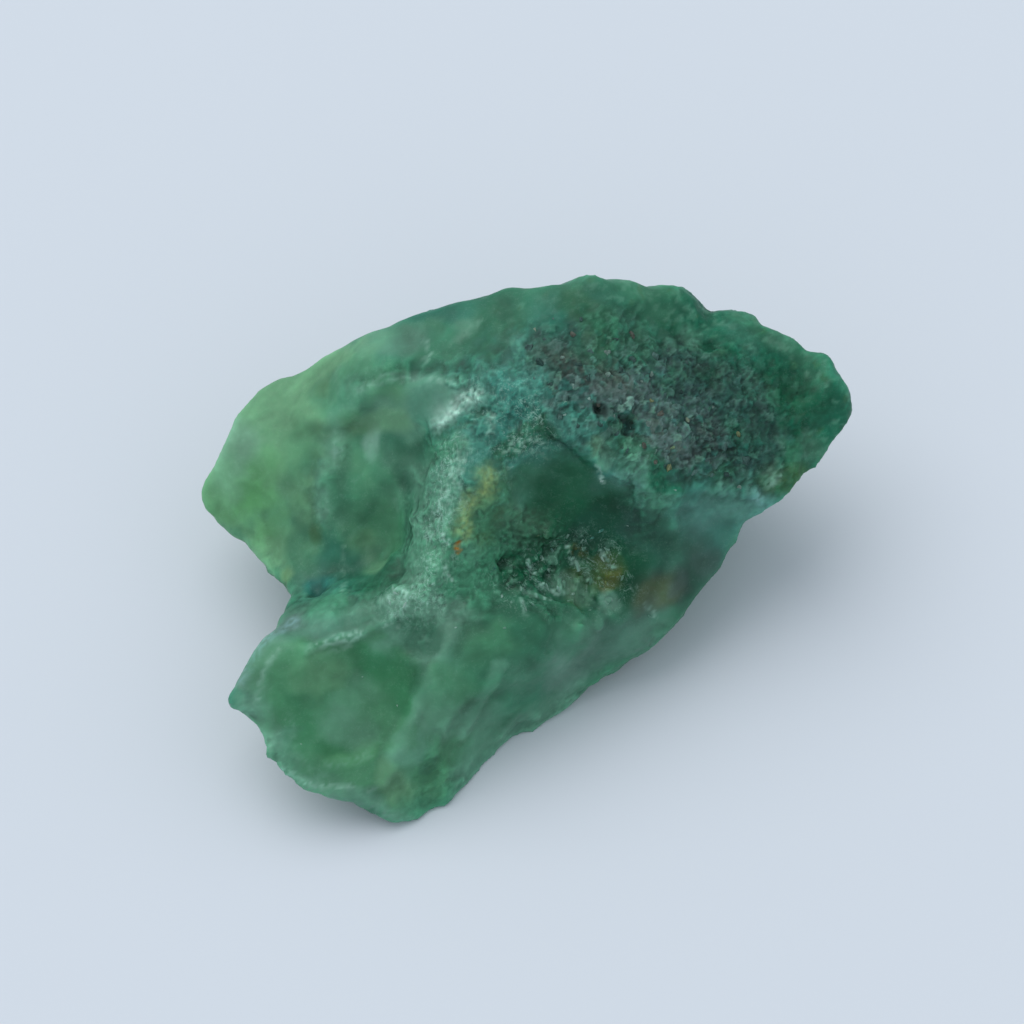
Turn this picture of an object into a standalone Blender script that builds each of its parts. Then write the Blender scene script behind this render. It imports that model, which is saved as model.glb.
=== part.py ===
"""Raw emerald crystal: one broken lump of cloudy green beryl, at its real size.

It is about as long as a fingertip is wide, with a thin lobe at the left, a dished lobe at the front,
a thick rough slab at the right and a high crest between them. It grew and broke as one piece, so it is
one solid. The origin is under the middle of the stone, on the surface it rests on, with +Z up and the
dished front lobe towards -Y.

The stone is made as it came to be. Its corners are joined into a rough block of flat breaks, the block
is rounded where it wore and left sharp along its broken edges, the surface is roughened, the small
crystals of the pit are grown on it, and it is ground flat where it rests.
"""

import math

import bmesh
import bpy
from mathutils import Matrix, Vector, noise

MM = 0.001
NAME = "emerald_crystal"
BERYL_GREEN = (0.06, 0.17, 0.10)

# The drawing on which the stone is laid out: the stone as seen from a raised place at its front. The
# middle of the drawing shows VIEW_MIDDLE, and one unit of the drawing is UNIT mm at that distance.
VIEW_ELEVATION = math.radians(55)
VIEW_DISTANCE = 230.5
VIEW_MIDDLE = Vector((-0.58, -0.55, 8.0))
DRAWING_MIDDLE = 512
UNIT = 0.036

# The corners in sight on the drawing: across and down in its units, then the height in millimetres.
SEEN_CORNERS = {
    # The back crest, from the thin left lobe over the summit to the right tip.
    "left_tip": (203, 490, 4.1),
    "left_edge": (217, 455, 5.7),
    "left_corner": (237, 408, 7.0),
    "left_shoulder": (291, 372, 7.7),
    "back_1": (345, 346, 8.8),
    "back_2": (421, 311, 10.0),
    "back_3": (500, 290, 10.8),
    "back_4": (560, 277, 11.2),
    "summit": (612, 277, 11.3),
    "back_5": (655, 285, 10.4),
    "back_6": (672, 285, 9.9),
    "back_7": (703, 312, 9.2),
    "back_8": (742, 312, 8.9),
    "back_9": (762, 325, 8.9),
    "back_10": (787, 347, 8.7),
    "back_11": (817, 347, 8.5),
    "back_12": (834, 378, 8.1),
    "right_tip": (853, 416, 6.8),
    # The lower edge of the slab, from the right tip back to where the front face starts.
    "slab_under": (828, 456, 5.9),
    "slab_heel": (801, 489, 5.7),
    "slab_notch": (757, 496, 5.2),
    # The foot of the front face, from the notch under the slab down to the toe.
    "side_1": (745, 522, 4.9),
    "side_2": (738, 546, 4.3),
    "side_3": (729, 571, 3.7),
    "side_4": (697, 601, 3.1),
    "side_5": (658, 641, 2.3),
    "side_6": (625, 660, 1.9),
    "side_7": (588, 690, 0.9),
    "side_8": (540, 721, 0.4),
    "side_9": (495, 752, 0.2),
    "side_10": (462, 782, 0.1),
    "side_11": (441, 802, 0.1),
    "toe": (405, 822, 0.2),
    # The thin edge round the front lobe, from the toe to the notch.
    "lip_1": (375, 813, 0.8),
    "lip_2": (340, 802, 1.6),
    "lip_3": (300, 791, 2.1),
    "lip_4": (277, 773, 2.7),
    "lip_5": (260, 738, 3.3),
    "lip_6": (262, 718, 3.8),
    "nub": (231, 703, 4.2),
    "lip_7": (241, 675, 4.6),
    "lip_8": (261, 640, 4.9),
    "lip_9": (275, 614, 4.8),
    "notch": (290, 598, 4.2),
    "lobe_under_1": (272, 574, 3.8),
    "lobe_under_2": (250, 549, 3.6),
    "lobe_under_3": (224, 528, 3.6),
    # The crest between the rough slab and the dark hollow.
    "crest_1": (500, 408, 9.9),
    "crest_2": (550, 424, 9.7),
    "crest_3": (592, 452, 9.0),
    "crest_4": (635, 478, 8.0),
    "crest_5": (690, 499, 6.7),
    # The nose, running down from the crest to the rim of the front lobe.
    "nose_1": (455, 460, 9.0),
    "nose_2": (452, 500, 8.4),
    "nose_3": (448, 545, 7.5),
    "nose_4": (428, 582, 6.9),
    "nose_5": (395, 594, 6.3),
    "nose_6": (338, 602, 5.6),
    # The front lobe's dish, its rim and the ridges at its right.
    "rim_1": (272, 655, 4.9),
    "rim_2": (340, 636, 5.4),
    "rim_3": (402, 622, 5.9),
    "rim_4": (303, 614, 5.3),
    "dish_1": (285, 700, 4.1),
    "dish_2": (345, 700, 3.8),
    "dish_3": (395, 690, 4.0),
    "dish_4": (345, 762, 2.4),
    "dish_5": (300, 765, 2.6),
    "dish_6": (303, 732, 3.3),
    "ridge_1": (450, 645, 5.4),
    "ridge_2": (430, 700, 4.0),
    "ridge_3": (405, 750, 2.7),
    "ridge_4": (388, 788, 1.6),
    "band_1": (500, 650, 5.1),
    "band_2": (472, 705, 3.4),
    "band_3": (440, 765, 1.6),
    # The dark hollow under the crest, its pit and the face below.
    "hollow_1": (500, 470, 8.7),
    "hollow_2": (545, 480, 7.8),
    "hollow_3": (592, 515, 6.6),
    "hollow_4": (650, 530, 6.0),
    "hollow_5": (500, 528, 7.2),
    "shoulder": (715, 512, 5.9),
    "flank": (705, 552, 4.8),
    "pit_1": (503, 572, 6.0),
    "pit_2": (555, 585, 5.0),
    "pit_3": (610, 570, 5.0),
    "pit_4": (520, 618, 5.6),
    "sill_1": (562, 638, 4.6),
    "sill_2": (615, 625, 4.0),
    "sill_3": (656, 592, 4.3),
    "face_1": (520, 695, 2.7),
    "face_2": (580, 668, 2.3),
    "face_3": (478, 742, 1.3),
    # The scooped valley between the nose and the left lobe.
    "valley_1": (418, 440, 8.6),
    "valley_2": (370, 435, 8.1),
    "valley_3": (388, 500, 6.8),
    "valley_4": (382, 556, 5.4),
    "valley_5": (328, 585, 4.7),
    "scarp_1": (414, 500, 7.5),
    "scarp_2": (404, 560, 6.2),
    "rib_1": (352, 383, 9.1),
    "rib_2": (335, 420, 8.0),
    "rib_3": (327, 500, 6.3),
    "rib_4": (337, 560, 4.9),
    "trough_1": (306, 460, 6.9),
    "trough_2": (300, 535, 4.9),
    "lobe_face": (262, 460, 6.3),
    # The top of the stone.
    "ledge_1": (430, 372, 10.0),
    "ledge_2": (500, 362, 10.5),
    "ledge_3": (445, 408, 9.5),
    "slab_1": (560, 335, 11.0),
    "slab_2": (620, 350, 10.5),
    "slab_3": (590, 400, 10.1),
    "slab_4": (645, 405, 9.4),
    "slab_5": (705, 365, 9.2),
    "slab_6": (700, 445, 8.0),
    "slab_7": (770, 425, 7.7),
    "slab_8": (800, 388, 8.0),
    "slab_9": (683, 322, 9.8),
    "slab_10": (757, 352, 8.9),
}

# The corners out of sight on the drawing, in millimetres.
HIDDEN_CORNERS = {
    # The breaks at the back.
    "rear_1": (-8.6, 6.4, 4.2),
    "rear_2": (-6.0, 7.9, 4.6),
    "rear_3": (-2.2, 8.7, 6.6),
    "rear_4": (2.4, 9.0, 6.4),
    "rear_5": (6.9, 8.8, 5.6),
    "rear_6": (10.2, 6.6, 5.4),
    "rear_7": (-3.4, 8.6, 2.6),
    "rear_8": (4.2, 8.6, 2.2),
    # The underside.
    "base_1": (-3.8, -7.8, -0.3),
    "base_2": (-1.2, -5.2, -0.3),
    "base_3": (1.6, -2.8, -0.3),
    "base_4": (3.5, -0.2, -0.3),
    "base_5": (6.0, 2.8, -0.3),
    "base_6": (5.0, 6.4, -0.3),
    "base_7": (0.8, 7.6, -0.3),
    "base_8": (-4.2, 6.2, -0.3),
    "base_9": (-6.4, 2.6, -0.3),
    "base_10": (-5.8, -1.2, -0.3),
    "base_11": (-5.0, -5.4, -0.3),
    "under_lobe": (-9.2, 2.6, 2.2),
    "under_dish": (-7.6, -5.4, 1.8),
    "under_notch": (-7.4, -1.0, 1.9),
    "under_heel": (8.0, 2.6, 4.2),
    "under_slab_1": (8.4, 4.8, 3.0),
    "under_slab_2": (6.8, 2.6, 2.4),
}

# Edges that broke sharp: how sharp, from 0 to 1, and the corners that each one runs through.
SHARP_EDGES = [
    (0.8, "left_tip left_edge left_corner left_shoulder back_1 back_2 back_3 back_4 summit"),
    (0.3, "summit back_5 back_6 back_7 back_8 back_9 back_10 back_11 back_12 right_tip"),
    (0.5, "right_tip slab_under slab_heel slab_notch"),
    (0.5, "side_1 side_2 side_3 side_4 side_5 side_6"),
    (0.6, "toe lip_1 lip_2 lip_3 lip_4 lip_5 lip_6 nub lip_7 lip_8 lip_9 notch"),
    (0.5, "crest_1 crest_2 crest_3 crest_4 crest_5"),
    (0.2, "crest_1 nose_1 nose_2 nose_3 nose_4 nose_5 nose_6"),
    (0.2, "rim_1 rim_2 rim_3"),
    (0.2, "ridge_1 ridge_2 ridge_3 ridge_4"),
    (0.2, "band_1 band_2 band_3"),
    (0.2, "rib_3 rib_4"),
    (0.2, "rib_1 ledge_1 ledge_2"),
    (0.4, "notch lobe_under_1 lobe_under_2 lobe_under_3 left_tip"),
    (0.6, "left_tip rear_1 rear_2 rear_3 rear_4 rear_5 rear_6 right_tip"),
    (0.5, "rear_3 rear_7"),
    (0.5, "rear_4 rear_8"),
]
PLAIN_SHARPNESS = 0.1

# The point from which every corner can be seen, in millimetres.
HEART = Vector((-1.0, 1.2, 2.6))

ROUNDING_LEVELS = 3
GROWING_ROUNDS = 6
SKIN_SPACING = 0.16
SKIN_SMOOTHINGS = 4
STONE_TRIANGLES = 8000
SHORTEST_EDGE = 0.01

# Where the surface is rougher or smoother than plain breaks: the middle and the radii of each patch, in
# millimetres.
CRUST = (Vector((5.0, 4.0, 9.2)), Vector((5.8, 3.8, 3.0)))
PIT = (Vector((1.4, -1.9, 5.2)), Vector((2.4, 1.9, 1.6)))
SMOOTH_PATCHES = [
    (Vector((-7.0, -6.4, 3.2)), Vector((4.0, 3.0, 2.6))),
    (Vector((-9.8, 2.6, 6.0)), Vector((2.8, 2.6, 2.6))),
    (Vector((1.0, -4.4, 2.4)), Vector((5.0, 3.0, 2.2))),
]

# The surface's relief, in millimetres: how wide each kind is, and how far it stands out or tips.
CHIP_SIZE = 3.6
CHIP_TIP = 0.26
FLAKE_SIZE = 1.4
FLAKE_TIP = 0.20
GRAIN_SIZE = 0.75
GRAIN_HEIGHT = 0.35
CHIP_WEAR = 0.16

# The pit's small crystals, in millimetres.
PIT_CRYSTALS = 30
PIT_CRYSTAL_LENGTHS = (0.6, 1.0)
PIT_CRYSTAL_WIDTHS = (0.34, 0.62)


def seen_place(across, down, height):
    """The place, in millimetres, of a point on the drawing that lies at a height."""
    back = Vector((0, -math.cos(VIEW_ELEVATION), math.sin(VIEW_ELEVATION)))
    right = Vector((1, 0, 0))
    up = back.cross(right)
    eye = VIEW_MIDDLE + back * VIEW_DISTANCE
    sight = right * (across - DRAWING_MIDDLE) * UNIT + up * (DRAWING_MIDDLE - down) * UNIT
    sight -= back * VIEW_DISTANCE
    return eye + sight * (height - eye.z) / sight.z


def rough_block():
    """The corners joined into flat breaks. Every corner is in plain sight from the heart of the stone,
    so the breaks are the faces of the hull of the directions in which the corners lie."""
    places = {name: seen_place(*seen) for name, seen in SEEN_CORNERS.items()}
    places.update({name: Vector(place) for name, place in HIDDEN_CORNERS.items()})
    block = bmesh.new()
    vertex = {}
    for name, place in places.items():
        vertex[name] = block.verts.new((place - HEART).normalized())
    bmesh.ops.convex_hull(block, input=list(block.verts))
    mark_sharp_edges(block, vertex)
    for name, place in places.items():
        vertex[name].co = place * MM
    bmesh.ops.recalc_face_normals(block, faces=block.faces)
    mesh = bpy.data.meshes.new(NAME)
    block.to_mesh(mesh)
    block.free()
    return mesh


def mark_sharp_edges(block, vertex):
    """Gives each edge its sharpness. Where a sharp edge crosses one of the block, that one is turned."""
    sharpness = block.edges.layers.float.new("crease_edge")
    wanted = {}
    for sharp, chain in SHARP_EDGES:
        names = chain.split()
        for start, end in zip(names, names[1:]):
            wanted[frozenset((vertex[start], vertex[end]))] = sharp
    for ends in wanted:
        if block.edges.get(tuple(ends)) is None:
            crossing = [
                edge
                for edge in block.edges
                if ends == {v for face in edge.link_faces for v in face.verts} - set(edge.verts)
            ]
            for edge in crossing:
                bmesh.utils.edge_rotate(edge, True)
    for edge in block.edges:
        edge[sharpness] = wanted.get(frozenset(edge.verts), PLAIN_SHARPNESS)


def rounded(mesh):
    """The block rounded by subdivision and grown so that the rounded surface runs through its corners."""
    stone = bpy.data.objects.new(NAME, mesh)
    bpy.context.scene.collection.objects.link(stone)
    rounding = stone.modifiers.new("rounding", "SUBSURF")
    rounding.levels = ROUNDING_LEVELS
    rounding.render_levels = ROUNDING_LEVELS
    corners = [v.co.copy() for v in mesh.vertices]
    for _ in range(GROWING_ROUNDS):
        surface = evaluated(stone)
        for vertex, corner, now in zip(mesh.vertices, corners, surface.vertices):
            vertex.co += corner - now.co
        bpy.data.meshes.remove(surface)
    apply_modifiers(stone)
    return stone


def evaluated(thing):
    """The mesh of an object with its modifiers applied."""
    bpy.context.view_layer.update()
    return bpy.data.meshes.new_from_object(thing.evaluated_get(bpy.context.evaluated_depsgraph_get()))


def apply_modifiers(thing):
    mesh = evaluated(thing)
    thing.modifiers.clear()
    thing.data = mesh


def inside(patch, place):
    """How far a place is inside a patch: 1 at its middle, 0 from its rim outwards."""
    middle, radii = patch
    offset = Vector(d / r for d, r in zip(place - middle, radii))
    return min(1.0, max(0.0, 2.0 * (1.0 - offset.length)))


def tipped(place, size, tip):
    """The relief of flat chips of a size, each of them tipped its own way and worn where two meet."""
    distances, seeds = noise.voronoi(place / size)
    lean = noise.cell_vector(seeds[0] * 51.7) - Vector((0.5, 0.5, 0.5))
    worn = min(1.0, (distances[1] - distances[0]) / CHIP_WEAR)
    return (place - seeds[0] * size).dot(lean) * tip * worn


def grains(place, size, height):
    """The relief of rounded grains packed side by side."""
    return (0.5 - noise.voronoi(place / size)[0][0]) * height


def roughen(stone):
    """Moves the surface in and out by the chips, flakes and grains that it broke or grew into."""
    mesh = stone.data
    moves = []
    for vertex in mesh.vertices:
        place = vertex.co / MM
        crust = max(inside(CRUST, place), inside(PIT, place))
        smooth = max(inside(patch, place) for patch in SMOOTH_PATCHES)
        broken = 1.0 - 0.85 * smooth
        move = tipped(place, CHIP_SIZE, CHIP_TIP) * broken
        move += tipped(place, FLAKE_SIZE, FLAKE_TIP) * broken
        move += grains(place, GRAIN_SIZE, GRAIN_HEIGHT) * crust
        moves.append(vertex.normal * move * MM)
    for vertex, move in zip(mesh.vertices, moves):
        vertex.co += move


def even_out(stone, smoothings):
    """Gives the surface an even net of small faces, closed all round, and smooths it a number of times."""
    skin = stone.modifiers.new("skin", "REMESH")
    skin.mode = "VOXEL"
    skin.voxel_size = SKIN_SPACING * MM
    wear = stone.modifiers.new("wear", "SMOOTH")
    wear.iterations = smoothings
    apply_modifiers(stone)


def thin_out(stone, triangles):
    """Leaves out the points that the shape doesn't need."""
    thinning = stone.modifiers.new("thinning", "DECIMATE")
    thinning.ratio = triangles / (2 * len(stone.data.polygons))
    apply_modifiers(stone)


def grow_pit_crystals(stone):
    """Fuses short six-sided crystals, leaning every way and half sunk, with the floor of the pit."""
    middle, radii = PIT
    crystals = bmesh.new()
    for i in range(PIT_CRYSTALS):
        turn = math.radians(137.5) * i
        spread = math.sqrt((i + 0.5) / PIT_CRYSTALS) * 0.85
        above = middle + Vector((math.cos(turn) * radii.x * spread, math.sin(turn) * radii.y * spread, 10))
        found, floor, normal, _ = stone.ray_cast(above * MM, Vector((0, 0, -1)))
        if found:
            chance = noise.cell_vector(Vector((i * 7, 3, 5)))
            length = PIT_CRYSTAL_LENGTHS[0] + (PIT_CRYSTAL_LENGTHS[1] - PIT_CRYSTAL_LENGTHS[0]) * chance.x
            width = PIT_CRYSTAL_WIDTHS[0] + (PIT_CRYSTAL_WIDTHS[1] - PIT_CRYSTAL_WIDTHS[0]) * chance.y
            lean = Matrix.Rotation(math.tau * chance.y, 4, normal) @ Matrix.Rotation(
                math.radians(30 + 45 * chance.z), 4, normal.orthogonal()
            )
            along = (lean @ normal).to_track_quat("Z", "Y").to_matrix().to_4x4()
            bmesh.ops.create_cone(
                crystals,
                cap_ends=True,
                segments=6,
                radius1=width / 2 * MM,
                radius2=width / 4 * MM,
                depth=length * MM,
                matrix=Matrix.Translation(floor) @ along,
            )
    fuse(stone, crystals, "UNION")


def grind_base(stone):
    """Cuts the stone flat at the height of the table."""
    table = bmesh.new()
    bmesh.ops.create_cube(
        table, size=1, matrix=Matrix.Translation((0, 0, -5 * MM)) @ Matrix.Diagonal((0.1, 0.1, 0.01, 1))
    )
    fuse(stone, table, "DIFFERENCE")


def fuse(stone, shape, operation):
    """Joins a shape to the stone, or cuts it from the stone."""
    mesh = bpy.data.meshes.new("tool")
    shape.to_mesh(mesh)
    shape.free()
    tool = bpy.data.objects.new("tool", mesh)
    bpy.context.scene.collection.objects.link(tool)
    joint = stone.modifiers.new("joint", "BOOLEAN")
    joint.operation = operation
    joint.use_self = True
    joint.object = tool
    apply_modifiers(stone)
    bpy.data.objects.remove(tool)
    block = bmesh.new()
    block.from_mesh(stone.data)
    bmesh.ops.dissolve_degenerate(block, edges=block.edges, dist=SHORTEST_EDGE * MM)
    bmesh.ops.delete(block, geom=[e for e in block.edges if not e.link_faces], context="EDGES")
    bmesh.ops.delete(block, geom=[v for v in block.verts if not v.link_faces], context="VERTS")
    block.to_mesh(stone.data)
    block.free()


def centre(stone):
    """Moves the stone so that its origin is under the middle of it."""
    spans = [sorted(v.co[axis] for v in stone.data.vertices) for axis in (0, 1)]
    middle = Vector(((spans[0][0] + spans[0][-1]) / 2, (spans[1][0] + spans[1][-1]) / 2, 0))
    stone.data.transform(Matrix.Translation(-middle))
    stone.data.name = NAME


def cloudy_beryl():
    """The stone's material: translucent bluish green, with a waxy shine."""
    material = bpy.data.materials.new("cloudy_beryl")
    material.use_nodes = True
    shader = material.node_tree.nodes["Principled BSDF"]
    shader.inputs["Base Color"].default_value = (*BERYL_GREEN, 1.0)
    shader.inputs["Roughness"].default_value = 0.4
    shader.inputs["IOR"].default_value = 1.58
    shader.inputs["Subsurface Weight"].default_value = 0.5
    shader.inputs["Subsurface Scale"].default_value = 1.5 * MM
    return material


def main():
    for old in list(bpy.data.objects):
        bpy.data.objects.remove(old)
    stone = rounded(rough_block())
    even_out(stone, SKIN_SMOOTHINGS)
    roughen(stone)
    even_out(stone, 1)
    thin_out(stone, STONE_TRIANGLES)
    grow_pit_crystals(stone)
    grind_base(stone)
    centre(stone)
    stone.data.materials.append(cloudy_beryl())


main()
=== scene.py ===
import math
import random

import bmesh
import bpy
import numpy as np
from mathutils import Matrix, Vector, noise
from mathutils.bvhtree import BVHTree


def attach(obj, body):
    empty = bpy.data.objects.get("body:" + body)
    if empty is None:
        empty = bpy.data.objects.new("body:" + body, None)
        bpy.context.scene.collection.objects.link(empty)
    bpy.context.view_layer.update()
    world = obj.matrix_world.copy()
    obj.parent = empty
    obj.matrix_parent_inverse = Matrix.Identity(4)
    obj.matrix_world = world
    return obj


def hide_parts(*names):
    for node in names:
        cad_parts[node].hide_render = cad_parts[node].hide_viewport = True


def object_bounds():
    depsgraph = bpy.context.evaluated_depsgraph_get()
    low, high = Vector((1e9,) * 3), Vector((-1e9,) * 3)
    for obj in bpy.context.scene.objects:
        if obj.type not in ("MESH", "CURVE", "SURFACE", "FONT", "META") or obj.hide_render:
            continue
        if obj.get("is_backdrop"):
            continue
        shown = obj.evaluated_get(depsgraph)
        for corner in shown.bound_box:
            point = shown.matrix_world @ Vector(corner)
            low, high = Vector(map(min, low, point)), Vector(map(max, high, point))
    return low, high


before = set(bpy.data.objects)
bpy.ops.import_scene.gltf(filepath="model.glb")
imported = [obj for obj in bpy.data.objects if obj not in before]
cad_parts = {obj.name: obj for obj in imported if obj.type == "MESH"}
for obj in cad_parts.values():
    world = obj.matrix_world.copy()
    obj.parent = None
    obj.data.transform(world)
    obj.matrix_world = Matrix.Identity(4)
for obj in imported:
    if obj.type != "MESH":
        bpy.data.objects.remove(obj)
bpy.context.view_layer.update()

MM = 0.001
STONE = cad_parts["emerald_crystal"]

# The view. The stone lies on a sheet and is looked at from in front and above with a long lens. The
# same view serves as the drawing on which its marks are laid out: across and down, in units of which
# DRAWING_WIDTH fill the picture, each 0.036 mm at the stone.
VIEW_ELEVATION = math.radians(55)
VIEW_DISTANCE = 230.5 * MM
VIEW_MIDDLE = Vector((-0.488, -0.6457, 8.0)) * MM
LENS = 150.0
SENSOR = 24.0
DRAWING_WIDTH = 1024

view_back = Vector((0.0, -math.cos(VIEW_ELEVATION), math.sin(VIEW_ELEVATION)))
view_up = Vector((0.0, math.sin(VIEW_ELEVATION), math.cos(VIEW_ELEVATION)))
eye = VIEW_MIDDLE + VIEW_DISTANCE * view_back

camera_data = bpy.data.cameras.new("camera")
camera_data.lens = LENS
camera_data.sensor_width = SENSOR
camera_data.clip_start = 0.01
camera_data.clip_end = 10.0
camera = bpy.data.objects.new("camera", camera_data)
camera.location = eye
camera.rotation_euler = (math.pi / 2 - VIEW_ELEVATION, 0.0, 0.0)
bpy.context.scene.collection.objects.link(camera)
bpy.context.scene.camera = camera


# The skin of the stone: one lump of beryl that grew and broke as one piece. Its broad shape is the
# solid's own. It is covered again with a fine even net, finer still over the middle, so that the small
# breaks can be raised on it, and worn a little, as a stone from a sorting tray is.
SKIN_SPACING = 0.14 * MM
SKIN_WEAR = 3
SWIRL_SEED = 7

blank = bpy.data.objects.new("blank", STONE.data.copy())
bpy.context.scene.collection.objects.link(blank)
net = blank.modifiers.new("net", "REMESH")
net.mode = "VOXEL"
net.voxel_size = SKIN_SPACING
wear = blank.modifiers.new("wear", "SMOOTH")
wear.factor = 0.5
wear.iterations = SKIN_WEAR
view_layer = bpy.context.evaluated_depsgraph_get()
skin_mesh = bpy.data.meshes.new_from_object(blank.evaluated_get(view_layer), depsgraph=view_layer)
bpy.data.objects.remove(blank)
skin_mesh.materials.clear()
skin = bpy.data.objects.new("stone_skin", skin_mesh)
bpy.context.scene.collection.objects.link(skin)


def surface_of(mesh):
    """A mesh made ready for finding the places where a line meets it."""
    return BVHTree.FromPolygons(
        [vertex.co.copy() for vertex in mesh.vertices],
        [tuple(face.vertices) for face in mesh.polygons])


surface = surface_of(skin_mesh)


def on_stone(across, down):
    """The place on the stone, in millimetres, that the drawing shows at across and down."""
    step = SENSOR / DRAWING_WIDTH / LENS
    middle = DRAWING_WIDTH / 2
    sight = Vector(((across - middle) * step, 0.0, 0.0)) + (middle - down) * step * view_up - view_back
    hit = surface.ray_cast(eye, sight.normalized())[0]
    if hit is None:
        hit = surface.find_nearest(eye + sight * VIEW_DISTANCE)[0]
    return hit / MM


# The finer net: every face of the middle is cut in four, within FINE_REACH mm of these places on the
# drawing.
FINE_MIDDLE = [
    (480, 430), (440, 540), (560, 560), (600, 470), (570, 390), (640, 400), (400, 600), (710, 410),
]
FINE_REACH = 2.5
middles = [on_stone(*spot) for spot in FINE_MIDDLE]
net = bmesh.new()
net.from_mesh(skin_mesh)
fine_edges = [
    edge for edge in net.edges
    if min(((edge.verts[0].co / MM) - middle).length for middle in middles) < FINE_REACH
]
bmesh.ops.subdivide_edges(net, edges=fine_edges, cuts=1, use_grid_fill=True, smooth=0.0)
bmesh.ops.triangulate(net, faces=[face for face in net.faces if len(face.verts) > 4])
net.to_mesh(skin_mesh)
net.free()
surface = surface_of(skin_mesh)

count = len(skin_mesh.vertices)
places = np.zeros(count * 3, np.float32)
skin_mesh.vertices.foreach_get("co", places)
places = places.reshape(-1, 3).astype(float) / MM
facing = np.zeros(count * 3, np.float32)
skin_mesh.vertices.foreach_get("normal", facing)
facing = facing.reshape(-1, 3).astype(float)
points = [Vector(place) for place in places]


def field(size, shift=0.0):
    """A smooth random number for each point of the skin, from about -1 to 1, in lumps of size mm. Each
    shift gives lumps of its own."""
    away = Vector((shift, 0.0, 0.0))
    return np.array([noise.noise(point / size + away) for point in points])


def swirl(size, shift=0.0):
    """A smooth random direction for each point of the skin, in lumps of size mm."""
    away = Vector((shift, 0.0, 0.0))
    return np.array([noise.noise_vector(point / size + away) for point in points])


# A wandering of the skin's points, in mm, that keeps every line and grain laid on it from being too even,
# and a fine speckle.
noise.seed_set(SWIRL_SEED)
drift = swirl(1.4) + 0.5 * swirl(0.5, 7.0)
speckle = field(0.13, 19.0)


def near(line, width, ragged=0.3, crisp=1.0):
    """How close each point of the skin is to a line laid on it: 1 on the line, 0 at width mm, and with
    a crisp edge 1 nearly all the way out."""
    corners = [np.array(on_stone(*spot)) for spot in line]
    where = places + ragged * max(width, 0.7) * drift
    gap = np.full(count, np.inf)
    for start, end in zip(corners, corners[1:] or corners):
        along = end - start
        share = np.clip((where - start) @ along / max(along @ along, 1e-9), 0.0, 1.0)
        gap = np.minimum(gap, np.linalg.norm(where - start - share[:, None] * along, axis=1))
    fade = np.clip((1.0 - gap / width) * crisp, 0.0, 1.0)
    return fade * fade * (3.0 - 2.0 * fade)


# How far the drift bends the edges of grains, as a share of it, and two numbers that spread the middles
# of neighbouring grains far apart, so that each grain draws its own number and its own lean.
GRAIN_BEND = 0.35
NUMBER_SPREAD = 7.3
LEAN_SPREAD = 51.7


def grain_numbers(size, shift=0.0):
    """A number for each grain of a size, from 0 to 1, at each point of the skin."""
    away = Vector((shift, 0.0, 0.0))
    number = np.zeros(count)
    for i, (point, turn) in enumerate(zip(points, drift)):
        centres = noise.voronoi(point / size + Vector(turn) * GRAIN_BEND + away)[1]
        number[i] = noise.cell(centres[0] * NUMBER_SPREAD)
    return number


def chips(size, tip, shift=0.0):
    """The relief of flat chips of a size, each tipped its own way and worn where two of them meet."""
    away = Vector((shift, 0.0, 0.0))
    middle = Vector((0.5, 0.5, 0.5))
    relief = np.zeros(count)
    for i, (point, turn) in enumerate(zip(points, drift)):
        spot = point / size + Vector(turn) * GRAIN_BEND + away
        gaps, centres = noise.voronoi(spot)
        lean = noise.cell_vector(centres[0] * LEAN_SPREAD) - middle
        worn = min(1.0, (gaps[1] - gaps[0]) / 0.3)
        relief[i] = (spot - centres[0]).dot(lean) * size * tip * worn
    return relief


# Where the stone is rough and where it is smooth: the dark crust of matrix left on the slab, the
# crinkled summit, the pit, the clean breaks of the dish, the thin lobe and the front face.
crust = np.clip(2.2 * np.maximum.reduce([
    near([(575, 350), (600, 385), (660, 400), (720, 425), (755, 445)], 3.0, 0.12),
    near([(640, 350), (700, 375), (760, 400)], 2.4, 0.12),
    near([(640, 440), (720, 455)], 1.5, 0.15),
]), 0.0, 1.0)
rim = near([(540, 320), (600, 300), (670, 310), (745, 335), (800, 370), (835, 410), (800, 450)], 2.6)
summit = near([(490, 395), (518, 402), (532, 432), (512, 446)], 1.7)
nose = near([(452, 460), (440, 500), (430, 590), (398, 600)], 1.3)
pit = near([(520, 585), (555, 560), (600, 575)], 2.0)
smooth = np.clip(1.5 * np.maximum.reduce([
    near([(300, 680), (360, 690), (350, 750)], 4.5, 0.1),
    near([(230, 480), (270, 440), (300, 400)], 4.5, 0.1),
    near([(480, 720), (540, 680), (620, 620), (700, 560)], 3.6, 0.1),
    near([(390, 430), (370, 500), (360, 550)], 2.6, 0.1),
    near([(340, 360), (400, 340), (470, 320), (540, 292)], 2.2, 0.1),
    near([(560, 284), (640, 286), (700, 296)], 1.0, 0.1),
    near([(290, 530), (310, 560)], 2.0, 0.1),
    near([(385, 402), (430, 396)], 1.3, 0.1),
    near([(540, 480), (590, 490), (600, 520)], 1.8, 0.1),
    near([(455, 690), (480, 660), (520, 640)], 2.2, 0.1),
    near([(446, 645), (425, 705), (400, 765)], 1.3, 0.1),
]), 0.0, 1.0)
rough = (1.0 - 0.8 * smooth) * (1.0 - 0.6 * rim)
drift += 0.4 * rough[:, None] * swirl(0.2, 13.0)

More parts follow.
